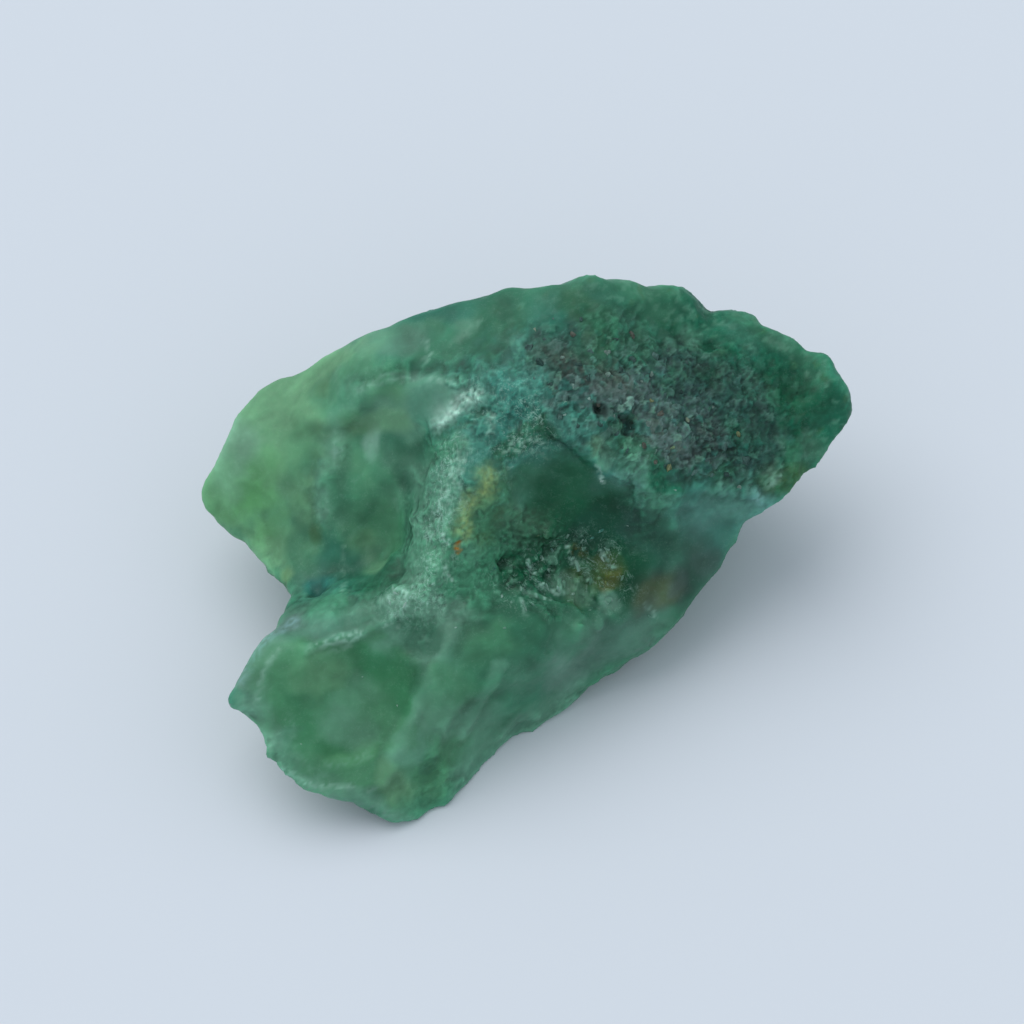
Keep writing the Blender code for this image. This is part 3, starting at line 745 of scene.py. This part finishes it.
def ramp(value, low, high, to_low=0.0, to_high=1.0, curve="SMOOTHSTEP"):
    """Takes what lies between low and high over to what lies between to_low and to_high."""
    inputs = {"Value": value, "From Min": low, "From Max": high, "To Min": to_low, "To Max": to_high}
    return add("ShaderNodeMapRange", {"interpolation_type": curve}, inputs).outputs["Result"]


def reckon(operation, *values, **settings):
    """One step of arithmetic between numbers."""
    return add("ShaderNodeMath", {"operation": operation, **settings}, dict(enumerate(values))).outputs[0]


def laid_over(colour, share, shade):
    """A colour with a shade laid over it, as strongly as share says."""
    inputs = {"Factor": share, "A": colour, "B": (*linear(shade), 1.0)}
    return add("ShaderNodeMix", {"data_type": "RGBA"}, inputs).outputs["Result"]


def scaled(colour, factor):
    """A colour made lighter or darker."""
    return add("ShaderNodeVectorMath", {"operation": "SCALE"}, {0: colour, "Scale": factor}).outputs[0]


def bump(strength, depth, height, **more):
    """A bump in the surface, of a depth in mm, from a height between 0 and 1."""
    inputs = {"Strength": strength, "Distance": depth * MM, "Height": height, **more}
    return add("ShaderNodeBump", None, inputs).outputs["Normal"]


# Cloudy beryl, broken and a little worn. Light goes in and comes out a millimetre away, so the stone
# looks soft, over a surface that is glassy only in small facets.
beryl = bpy.data.materials.new("cloudy_beryl")
beryl.use_nodes = True
tree = beryl.node_tree
tree.nodes.clear()
output = add("ShaderNodeOutputMaterial")
shader = add("ShaderNodeBsdfPrincipled")
tree.links.new(shader.outputs["BSDF"], output.inputs["Surface"])
where = add("ShaderNodeTexCoord").outputs["Object"]
tint_node = add("ShaderNodeAttribute", {"attribute_name": "tint"})
marks_node = add("ShaderNodeAttribute", {"attribute_name": "marks"})
split = add("ShaderNodeSeparateColor", None, {"Color": marks_node.outputs["Color"]})
crust_mark, crinkle_mark, smooth_mark = (split.outputs[k] for k in ("Red", "Green", "Blue"))

# Clouds of 0.6 mm all through the stone.
clouds = clouds_of(0.6, 5.0, Roughness=0.6, Distortion=1.0)
cloud_low = reckon("MULTIPLY_ADD", smooth_mark, 0.15, 0.80)
cloud_high = reckon("MULTIPLY_ADD", smooth_mark, -0.11, 1.16)
clouded = scaled(tint_node.outputs["Color"], ramp(clouds, 0.3, 0.7, cloud_low, cloud_high, "LINEAR"))

# Frosting: white flecks of crushed stone 0.05 mm across, thick where the stone is crinkled.
flecks = clouds_of(0.10, 2.0, Roughness=0.7, Distortion=1.0)
fleck = ramp(flecks, 0.5, 0.7)
fleck_patch = ramp(clouds, 0.42, 0.58, 0.25, 1.0)
fleck_here = reckon("MULTIPLY_ADD", crinkle_mark, 0.35, 0.05)
fleck_share = reckon("MULTIPLY", reckon("MULTIPLY", fleck, fleck_here), fleck_patch)
frosted = laid_over(clouded, fleck_share, "#A6C9BA")

# The grain of the crystal: milky streaks 0.14 mm wide that run from the back to the front.
along_grain = add("ShaderNodeVectorMath", {"operation": "MULTIPLY"},
                  {0: where, 1: (1 / (0.14 * MM), 1 / (0.5 * MM), 1 / (0.5 * MM))})
streaks = add("ShaderNodeTexNoise", None,
              {"Vector": along_grain.outputs[0], "Scale": 1.0, "Detail": 3.0,
               "Roughness": 0.55, "Distortion": 1.2})
streak = ramp(streaks.outputs["Fac"], 0.52, 0.72)
streak_here = reckon("MULTIPLY", marks_node.outputs["Alpha"], 0.45)
streaked = laid_over(frosted, reckon("MULTIPLY", streak, streak_here), "#9CC3B2")

# Healed cracks: thin wavy pale lines, 0.05 mm wide, most of them on the summit and the nose.
cracks = clouds_of(0.8, 4.0, Roughness=0.62, Distortion=1.2)
crack_off = reckon("ABSOLUTE", reckon("SUBTRACT", cracks, 0.5))
crack = ramp(crack_off, 0.0, 0.02, 1.0, 0.0)
crack_patch = ramp(clouds, 0.45, 0.6)
crack_here = reckon("MULTIPLY_ADD", crinkle_mark, 0.5, 0.03)
crack_share = reckon("MULTIPLY", reckon("MULTIPLY", crack, crack_here), crack_patch)
cracked = laid_over(streaked, crack_share, "#A9D2C2")
tree.links.new(cracked, shader.inputs["Base Color"])

# The shine of small facets, waxy in some places and dull in others, and duller on the crust.
gloss = ramp(clouds_of(0.3, 4.0), 0.3, 0.7, 0.34, 0.62, "LINEAR")
gloss_here = reckon("MULTIPLY_ADD", crust_mark, 0.25, gloss, use_clamp=True)
tree.links.new(gloss_here, shader.inputs["Roughness"])

# The grain too fine to be mesh, 0.16 mm across, and the healed cracks standing just proud.
fine = clouds_of(0.16, 4.0, Roughness=0.65)
fine_bump = bump(reckon("MULTIPLY_ADD", smooth_mark, -0.25, 0.35), 0.03, fine)
tree.links.new(bump(0.4, 0.03, crack_share, Normal=fine_bump), shader.inputs["Normal"])

shader.inputs["IOR"].default_value = 1.58
shader.inputs["Specular IOR Level"].default_value = 0.16
shader.inputs["Subsurface Weight"].default_value = 0.35
shader.inputs["Subsurface Radius"].default_value = (0.5, 1.0, 0.7)
shader.inputs["Subsurface Scale"].default_value = 0.5 * MM
skin_mesh.materials.append(beryl)

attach(skin, "root")
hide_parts("emerald_crystal")


# The crust on the slab: grains of the rock that the emerald grew in, a third of a millimetre each, grey,
# brown, cream and green, still stuck to it side by side.
GRAIN_SEED = 7
GRAIN_GAP = 0.6
GRAIN_WIDTHS = (0.22, 0.42)
GRAIN_DEPTHS = (-0.40, -0.14)
LUMP_SIZE = 0.14
LUMP_HEIGHT = 0.7
GRAIN_SHADES = (
    ["#38544E"] * 5 + ["#486860"] * 6 + ["#2A453F"] * 3 + ["#61796F"] * 4 + ["#4C5047"] * 3
    + ["#74836F", "#66704F"])
BOXES_AROUND = [(x, y, z) for x in (-1, 0, 1) for y in (-1, 0, 1) for z in (-1, 0, 1)]


def random_turn(chance):
    """A turn about any axis, all of them as likely."""
    axis = Vector([chance.gauss(0.0, 1.0) for _ in range(3)]).normalized()
    return Matrix.Rotation(chance.uniform(0.0, math.tau), 4, axis)


def joined_piece(name, shape, colours, finish):
    """Makes one piece of many small stones, each of them in its own colour."""
    mesh = bpy.data.meshes.new(name)
    shape.to_mesh(mesh)
    shape.free()
    lay_colour(mesh, "tint", colours)
    mesh.materials.append(finish)
    piece = bpy.data.objects.new(name, mesh)
    bpy.context.scene.collection.objects.link(piece)
    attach(piece, "root")
    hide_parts("emerald_crystal")


# Dull grit: broken rock, rough all over, which makes the crust look dry beside the waxy stone.
grit = bpy.data.materials.new("dull_grit")
grit.use_nodes = True
tree = grit.node_tree
grit_shader = tree.nodes["Principled BSDF"]
grit_tint = add("ShaderNodeAttribute", {"attribute_name": "tint"}).outputs["Color"]
where = add("ShaderNodeTexCoord").outputs["Object"]
dust = clouds_of(0.12, 4.0)
dusted = scaled(grit_tint, ramp(dust, 0.3, 0.7, 0.65, 1.35, "LINEAR"))
tree.links.new(dusted, grit_shader.inputs["Base Color"])
tree.links.new(bump(0.5, 0.02, dust), grit_shader.inputs["Normal"])
grit_shader.inputs["Roughness"].default_value = 0.55
grit_shader.inputs["Specular IOR Level"].default_value = 0.225
grit_shader.inputs["Subsurface Weight"].default_value = 0.15
grit_shader.inputs["Subsurface Radius"].default_value = (0.5, 1.0, 0.7)
grit_shader.inputs["Subsurface Scale"].default_value = 0.2 * MM

# The grains are tried in a random order, and one is left out where it would crowd another. The skin is
# parted into boxes of GRAIN_GAP, so that only grains in the boxes around have to be looked at.
chance = random.Random(GRAIN_SEED)
order = [i for i in range(count) if crust[i] > 0.75]
chance.shuffle(order)
grain_shape = bmesh.new()
grain_colours = []
taken = {}
for i in order:
    if chance.random() > crust[i] * fresh[i]:
        continue
    box_at = tuple(int(math.floor(c / GRAIN_GAP)) for c in places[i])
    boxes = [tuple(b + step for b, step in zip(box_at, steps)) for steps in BOXES_AROUND]
    others = [other for box in boxes for other in taken.get(box, [])]
    if any((points[i] - other).length < GRAIN_GAP for other in others):
        continue
    taken.setdefault(box_at, []).append(points[i])
    width = chance.uniform(*GRAIN_WIDTHS) * (0.7 + 0.3 * crust[i])
    squash = Matrix.Diagonal((1.0, chance.uniform(0.65, 1.0), chance.uniform(0.55, 0.9), 1.0))
    at = points[i] + Vector(facing[i]) * width * chance.uniform(*GRAIN_DEPTHS)
    before = len(grain_shape.verts)
    bmesh.ops.create_icosphere(
        grain_shape, subdivisions=2, radius=width / 2 * MM,
        matrix=Matrix.Translation(at * MM) @ random_turn(chance) @ squash)
    grain_shape.verts.ensure_lookup_table()
    shade = linear(chance.choice(GRAIN_SHADES))
    for vertex in grain_shape.verts[before:]:
        lump = noise.noise(vertex.co / (LUMP_SIZE * MM))
        vertex.co += (vertex.co - at * MM) * LUMP_HEIGHT * lump
        grain_colours.append((*shade, 1.0))
joined_piece("crust_grains", grain_shape, grain_colours, grit)


# The crystals in the pit and the pale splinters round it: short pointed prisms of clear beryl, no longer
# than half a millimetre, grown every way. Each is across, down, length, width, the way it points in the
# drawing in degrees from across to up, and its shade.
SPLINTERS = [
    (567, 538, 0.36, 0.20, 100, "pale"), (582, 542, 0.30, 0.18, 60, "pale"),
    (592, 538, 0.18, 0.12, 30, "milky sea"), (599, 532, 0.40, 0.10, 35, "milky sea"),
    (606, 549, 0.22, 0.12, 150, "pale"), (604, 561, 0.40, 0.14, 122, "frost"),
    (542, 559, 0.20, 0.14, 80, "pale"), (528, 566, 0.45, 0.15, 110, "pale"),
    (536, 569, 0.20, 0.16, 30, "milky"), (550, 572, 0.32, 0.12, 120, "pale"),
    (571, 560, 0.34, 0.16, 40, "milky"), (577, 565, 0.42, 0.24, 110, "pale"),
    (590, 584, 0.46, 0.16, 80, "milky"), (606, 583, 0.20, 0.12, 100, "straw"),
    (621, 580, 0.42, 0.10, 70, "milky"), (542, 586, 0.30, 0.14, 45, "milky"),
    (549, 590, 0.50, 0.13, 115, "pale"), (560, 592, 0.52, 0.15, 120, "pale"),
    (564, 584, 0.30, 0.20, 90, "milky"), (572, 594, 0.20, 0.14, 20, "pale"),
    (568, 601, 0.18, 0.12, 60, "pale"), (523, 592, 0.46, 0.22, 140, "milky"),
    (526, 609, 0.58, 0.09, 108, "pale"), (534, 605, 0.42, 0.09, 165, "pale"),
    (502, 597, 0.24, 0.18, 90, "frost"), (511, 603, 0.16, 0.10, 70, "pale"),
    (504, 628, 0.16, 0.12, 0, "pale"), (608, 602, 0.62, 0.36, 60, "milky"),
    (618, 602, 0.30, 0.10, 55, "milky"), (627, 526, 0.14, 0.10, 0, "pale"),
    (588, 399, 0.22, 0.16, 20, "frost"), (565, 402, 0.16, 0.12, 60, "pale"),
    (564, 415, 0.18, 0.12, 10, "frost"), (601, 481, 0.20, 0.14, 0, "frost"),
    (573, 386, 0.16, 0.12, 90, "pale"), (656, 452, 0.26, 0.18, 60, "pale"),
    (668, 458, 0.24, 0.16, 120, "pale"), (672, 448, 0.22, 0.16, 30, "straw"),
    (640, 446, 0.20, 0.14, 80, "pale"), (675, 490, 0.12, 0.08, 0, "frost"),
    (455, 628, 0.14, 0.08, 30, "frost"), (650, 617, 0.36, 0.07, 130, "milky"),
    (362, 677, 0.10, 0.07, 20, "frost"), (397, 706, 0.10, 0.07, 80, "frost"),
    (301, 744, 0.08, 0.06, 0, "frost"), (397, 594, 0.30, 0.10, 150, "frost"),
    (404, 606, 0.30, 0.10, 60, "frost"), (390, 604, 0.26, 0.10, 100, "frost"),
]

# More of them are strewn over the pit. Their sides and rings: how far along the axis each ring is and
# how wide it is, as shares of the length and the width.
SPLINTER_SEED = 11
LONGER, WIDER = 1.1, 1.2
STREWN = 10
STREWN_LENGTHS = (0.15, 0.4)
STREWN_WIDTHS = (0.07, 0.15)
STREWN_SHADES = ["milky", "leaf", "deep leaf", "pale", "sea", "olive"]
SIDES = 6
RINGS = [(-0.5, 0.8), (0.1, 1.0), (0.32, 0.85), (0.5, 0.25)]

# The splinters' material is the stone's own, without its crust and crinkles.
clear = beryl.copy()
clear.name = "clear_beryl"
chance = random.Random(SPLINTER_SEED)
drawing_right = Vector((1.0, 0.0, 0.0))
splinter_shape = bmesh.new()
splinter_colours = []


def grow_splinter(at, outward, along, length, width, shade):
    """Adds one pointed six-sided prism, half sunk in the stone and half its colour."""
    touched = skin_mesh.polygons[surface.find_nearest(at * MM)[2]].vertices[0]
    own = 0.45 * np.array(linear(shade)) + 0.55 * tint[touched]
    at = at - outward * 0.25 * width
    axis = (along - outward * along.dot(outward)).normalized()
    axis = (axis + outward * chance.uniform(0.1, 0.45)).normalized()
    frame_of = axis.to_track_quat("Z", "Y").to_matrix().to_4x4()
    turn = Matrix.Rotation(chance.uniform(0.0, math.tau), 4, "Z")
    made = []
    for share, swell in RINGS:
        ring = []
        for corner in range(SIDES):
            angle = math.tau * corner / SIDES + chance.uniform(-0.15, 0.15)
            reach = width / 2 * swell * chance.uniform(0.6, 1.15)
            spot = Vector((math.cos(angle) * reach, math.sin(angle) * reach * 0.8, share * length))
            ring.append(splinter_shape.verts.new((at + (frame_of @ turn @ spot)) * MM))
        made.append(ring)
    for low_ring, high_ring in zip(made, made[1:]):
        for k in range(SIDES):
            n = (k + 1) % SIDES
            splinter_shape.faces.new((low_ring[k], low_ring[n], high_ring[n], high_ring[k]))
    splinter_shape.faces.new(made[0][::-1])
    splinter_shape.faces.new(made[-1])
    splinter_colours.extend([(*own, 1.0)] * len(RINGS) * SIDES)


def outward_at(place):
    """The way the surface faces nearest to a place in millimetres."""
    return surface.find_nearest(place * MM)[1]


for across, down, length, width, heading, shade in SPLINTERS:
    at = on_stone(across, down)
    turned = math.radians(heading)
    along = drawing_right * math.cos(turned) + view_up * math.sin(turned)
    grow_splinter(at, outward_at(at), along, LONGER * length, WIDER * width, TINTS[shade])
pit_points = [i for i in range(count) if pit[i] > 0.25]
for i in chance.sample(pit_points, STREWN):
    along = random_turn(chance) @ drawing_right
    length, width = chance.uniform(*STREWN_LENGTHS), chance.uniform(*STREWN_WIDTHS)
    grow_splinter(points[i], Vector(facing[i]), along, length, width, TINTS[chance.choice(STREWN_SHADES)])
joined_piece("pit_splinters", splinter_shape, splinter_colours, clear)


# The sheet that the stone lies on: matt white card, a little blue in the shade.
SHEET = 400 * MM
card = bpy.data.materials.new("matt_card")
card.use_nodes = True
card_shader = card.node_tree.nodes["Principled BSDF"]
card_shader.inputs["Base Color"].default_value = (*linear("#D4DAE0"), 1.0)
card_shader.inputs["Roughness"].default_value = 0.9
card_shader.inputs["Specular IOR Level"].default_value = 0.1
sheet_mesh = bpy.data.meshes.new("sheet")
half = SHEET / 2
sheet_mesh.from_pydata(
    [(-half, -half, 0), (half, -half, 0), (half, half, 0), (-half, half, 0)], [], [(0, 1, 2, 3)])
sheet = bpy.data.objects.new("sheet", sheet_mesh)
sheet.location.z = -0.01 * MM
sheet_mesh.materials.append(card)
bpy.context.scene.collection.objects.link(sheet)
sheet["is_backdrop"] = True


# The light: a wide soft window behind the stone on its left, and the even light of a pale room.
WINDOW_SIZE = 1800 * MM
WINDOW_PLACE = Vector((-520, 420, 1330)) * MM
WINDOW_POWER = 12.0
ROOM_STRENGTH = 0.77

window_light = bpy.data.lights.new("window", "AREA")
window_light.shape = "DISK"
window_light.size = WINDOW_SIZE
window_light.energy = WINDOW_POWER
window = bpy.data.objects.new("window", window_light)
window.location = WINDOW_PLACE
window.rotation_euler = (-WINDOW_PLACE).to_track_quat("-Z", "Y").to_euler()
bpy.context.scene.collection.objects.link(window)
world = bpy.data.worlds.new("room")
world.use_nodes = True
world.node_tree.nodes["Background"].inputs["Color"].default_value = (*linear("#E6EEF8"), 1.0)
world.node_tree.nodes["Background"].inputs["Strength"].default_value = ROOM_STRENGTH
bpy.context.scene.world = world
bpy.context.scene.view_settings.view_transform = "Standard"

low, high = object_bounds()
